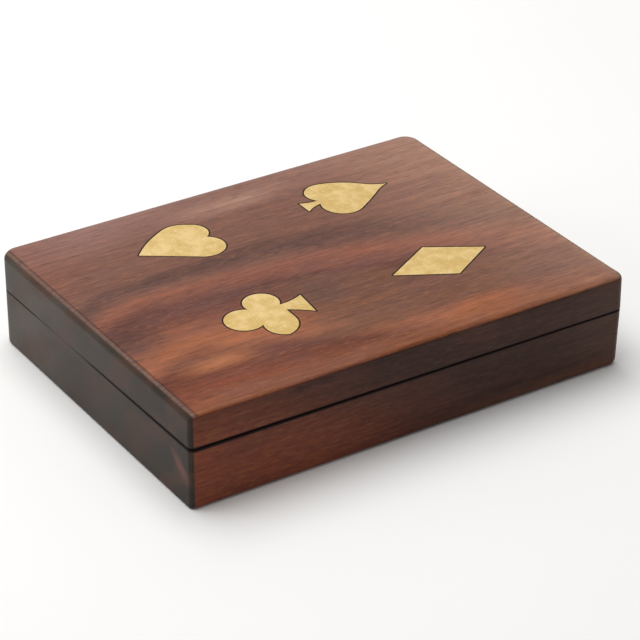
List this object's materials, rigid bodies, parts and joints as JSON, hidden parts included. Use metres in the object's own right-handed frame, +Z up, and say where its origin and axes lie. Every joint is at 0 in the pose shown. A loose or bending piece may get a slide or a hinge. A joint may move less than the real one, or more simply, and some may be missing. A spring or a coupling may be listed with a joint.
{
  "type": "poker chip case",
  "caption": "Low hinged rosewood case with four flush brass card suits in its lid, and felt-lined wells for poker chips and two decks of cards.",
  "frame": {"origin": "centre of the footprint, at the underside", "axes": "+X along the long side to the right as seen from the front, +Y to the hinged back, +Z up"},
  "size_m": [0.2, 0.152, 0.0405],
  "materials": {
    "rosewood": "oiled and rubbed, satin",
    "fitted_wood": "oiled, satin",
    "felt": "short wool felt, matt",
    "inlay_brass": "sanded flush, satin",
    "dark_lac": "black lac, rubbed down with the lid",
    "hinge_brass": "stamped and polished",
    "pin_steel": "drawn wire",
    "screw_brass": "turned, satin"
  },
  "bodies": {
    "base": {"base_block": "rosewood", "base_felt": "felt", "chip_board": "fitted_wood", "long_divider": "fitted_wood", "deck_divider": "fitted_wood", "left_hinge_base_leaf": "hinge_brass", "right_hinge_base_leaf": "hinge_brass", "left_hinge_pin": "pin_steel", "right_hinge_pin": "pin_steel", "base_hinge_screws": "screw_brass"},
    "lid": {"lid_block": "rosewood", "lid_felt": "felt", "heart_inlay": "inlay_brass", "spade_inlay": "inlay_brass", "club_inlay": "inlay_brass", "diamond_inlay": "inlay_brass", "heart_lac_line": "dark_lac", "spade_lac_line": "dark_lac", "club_lac_line": "dark_lac", "diamond_lac_line": "dark_lac", "left_hinge_lid_leaf": "hinge_brass", "right_hinge_lid_leaf": "hinge_brass", "lid_hinge_screws": "screw_brass"}
  },
  "joints": [
    {"name": "lid_hinge", "type": "hinge", "parent": "base", "child": "lid", "pos_m": [0, 0.0744, 0.025], "axis": [-1, 0, 0], "range_deg": [0, 100]}
  ]
}
